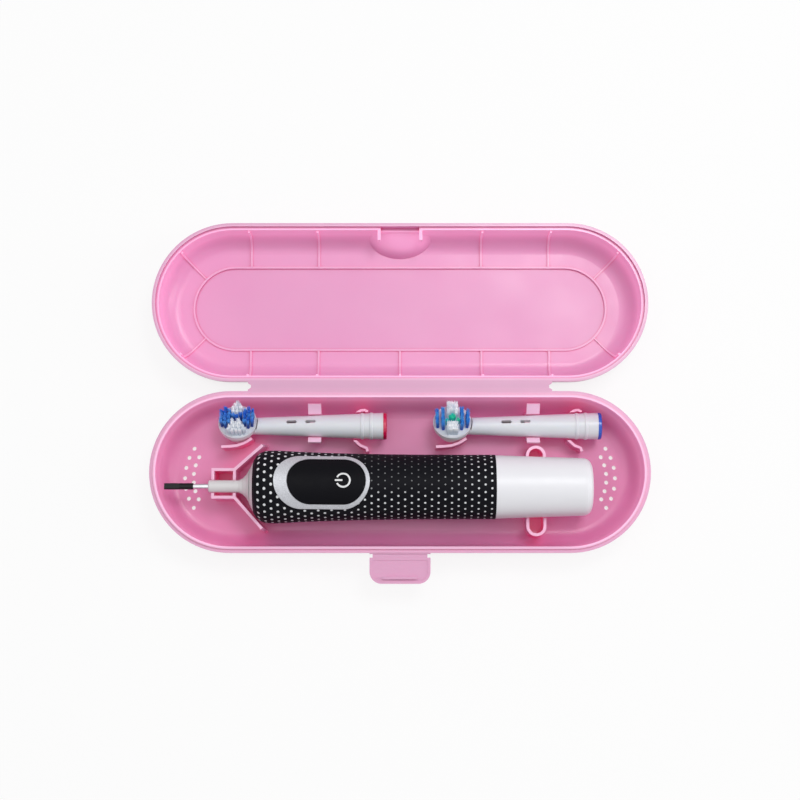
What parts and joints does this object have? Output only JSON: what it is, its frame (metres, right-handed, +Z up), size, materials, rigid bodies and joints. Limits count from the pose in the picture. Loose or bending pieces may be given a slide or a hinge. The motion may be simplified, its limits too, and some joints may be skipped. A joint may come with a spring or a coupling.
{
  "type": "electric toothbrush travel case",
  "caption": "Clamshell travel case on a living hinge, lying open, with moulded cradles that hold a rechargeable toothbrush handle and its brush heads.",
  "frame": {"origin": "centre of the base tray's underside", "axes": "+X along the case towards the handle's charging end, +Y towards the open lid, +Z up"},
  "size_m": [0.228, 0.1655, 0.0356],
  "materials": {
    "pp_base": "translucent satin polypropylene",
    "pp_clip": "translucent satin polypropylene",
    "pp_lid": "translucent satin polypropylene",
    "white_plastic": "satin",
    "neck_plastic": "satin",
    "soft_grip": "matt with printed white dots",
    "silver_plastic": "fine silver grain",
    "button_rubber": "smooth",
    "symbol_print": "moulded white",
    "tip_plastic": "smooth black",
    "steel": "ground",
    "bush_metal": "sintered",
    "seal_rubber": "smooth",
    "inner_plastic": "moulded",
    "gear_metal": "cut",
    "gear_plastic": "moulded",
    "cell_sleeve": "shrink sleeve",
    "nickel": "bright",
    "board": "lacquered",
    "copper": "wound wire",
    "ring_crimson": "satin",
    "ring_blue": "satin",
    "bristle_blue": "nylon strands",
    "bristle_white": "nylon strands",
    "bristle_green": "nylon strands"
  },
  "bodies": {
    "base": {"base_shell": "pp_base", "neck_cradle": "pp_base", "handle_saddle": "pp_base", "head_clip_left": "pp_clip", "head_clip_right": "pp_clip", "disc_hook_left": "pp_base", "disc_hook_right": "pp_base", "ring_hook_left": "pp_base", "ring_hook_right": "pp_base", "lid_hinge_film": "pp_lid", "latch_hinge_film": "pp_lid"},
    "lid": {"lid_shell": "pp_lid"},
    "latch": {"latch_flap": "pp_lid"},
    "handle": {"housing_tube": "white_plastic", "grip_sleeve": "soft_grip", "neck_collar": "neck_plastic", "shaft_seal": "seal_rubber", "front_bush": "bush_metal", "rear_bush": "bush_metal", "button_bezel": "silver_plastic", "chassis": "inner_plastic", "gear_axle": "steel", "motor": "steel", "battery": "cell_sleeve", "battery_tabs": "nickel", "circuit_board": "board", "tact_switch": "inner_plastic", "charge_coil": "copper", "base_cap": "white_plastic", "base_seal": "seal_rubber"},
    "button": {"button_pad": "button_rubber", "power_symbol": "symbol_print"},
    "drive_shaft": {"drive_shaft": "steel", "shaft_tip": "tip_plastic", "rocker": "inner_plastic"},
    "motor_pinion": {"motor_pinion": "gear_metal"},
    "crank_gear": {"crank_gear": "gear_plastic"},
    "head_left": {"head_stem_left": "white_plastic", "head_ring_left": "ring_crimson", "disc_pin_left": "steel"},
    "link_left": {"drive_link_left": "inner_plastic"},
    "disc_left": {"brush_disc_left": "white_plastic", "bristles_blue_left": "bristle_blue", "bristles_white_left": "bristle_white"},
    "head_right": {"head_stem_right": "white_plastic", "head_ring_right": "ring_blue", "disc_pin_right": "steel"},
    "link_right": {"drive_link_right": "inner_plastic"},
    "disc_right": {"brush_disc_right": "white_plastic", "bristles_blue_right": "bristle_blue", "bristles_white_right": "bristle_white", "bristles_green_right": "bristle_green"}
  },
  "joints": [
    {"name": "lid_hinge", "type": "hinge", "parent": "base", "child": "lid", "pos_m": [0, 0.039, 0.022], "axis": [-1, 0, 0], "range_deg": [-180, 0]},
    {"name": "latch_hinge", "type": "hinge", "parent": "base", "child": "latch", "pos_m": [0, -0.0381, 0.0207], "axis": [1, 0, 0], "range_deg": [-90, 60], "stiffness_Nm_per_rad": 0.002},
    {"name": "handle_lift", "type": "slide", "parent": "base", "child": "handle", "axis": [0, 0, 1], "range_m": [0, 0.06]},
    {"name": "button_press", "type": "slide", "parent": "handle", "child": "button", "axis": [0, -0.1392, -0.9903], "range_m": [0, 0.0008], "stiffness_N_per_m": 300},
    {"name": "shaft_swing", "type": "hinge", "parent": "handle", "child": "drive_shaft", "pos_m": [-0.0672, -0.00659, 0.02019], "axis": [1, 0, 0], "range_deg": [-25, 25]},
    {"name": "crank_spin", "type": "hinge", "parent": "handle", "child": "crank_gear", "pos_m": [-0.0322, -0.00726, 0.01543], "axis": [1, 0, 0], "continuous": true},
    {"name": "pinion_spin", "type": "hinge", "parent": "handle", "child": "motor_pinion", "pos_m": [-0.0322, -0.00638, 0.02167], "axis": [1, 0, 0], "continuous": true},
    {"name": "head_left_lift", "type": "slide", "parent": "base", "child": "head_left", "axis": [0, 0, 1], "range_m": [0, 0.05]},
    {"name": "link_left_swing", "type": "hinge", "parent": "head_left", "child": "link_left", "pos_m": [-0.0346, 0.0215, 0.013], "axis": [1, 0, 0], "range_deg": [-25, 25]},
    {"name": "disc_left_swing", "type": "hinge", "parent": "head_left", "child": "disc_left", "pos_m": [-0.0746, 0.02241, 0.01478], "axis": [0, 0.454, 0.891], "range_deg": [-25, 25]},
    {"name": "head_right_lift", "type": "slide", "parent": "base", "child": "head_right", "axis": [0, 0, 1], "range_m": [0, 0.05]},
    {"name": "link_right_swing", "type": "hinge", "parent": "head_right", "child": "link_right", "pos_m": [0.064, 0.0215, 0.013], "axis": [1, 0, 0], "range_deg": [-25, 25]},
    {"name": "disc_right_swing", "type": "hinge", "parent": "head_right", "child": "disc_right", "pos_m": [0.024, 0.02241, 0.01478], "axis": [0, 0.454, 0.891], "range_deg": [-25, 25]}
  ],
  "couplings": [
    {"joint": "pinion_spin", "follows": "crank_spin", "ratio": -2},
    {"joint": "link_left_swing", "follows": "disc_left_swing", "ratio": 1},
    {"joint": "link_right_swing", "follows": "disc_right_swing", "ratio": 1}
  ]
}
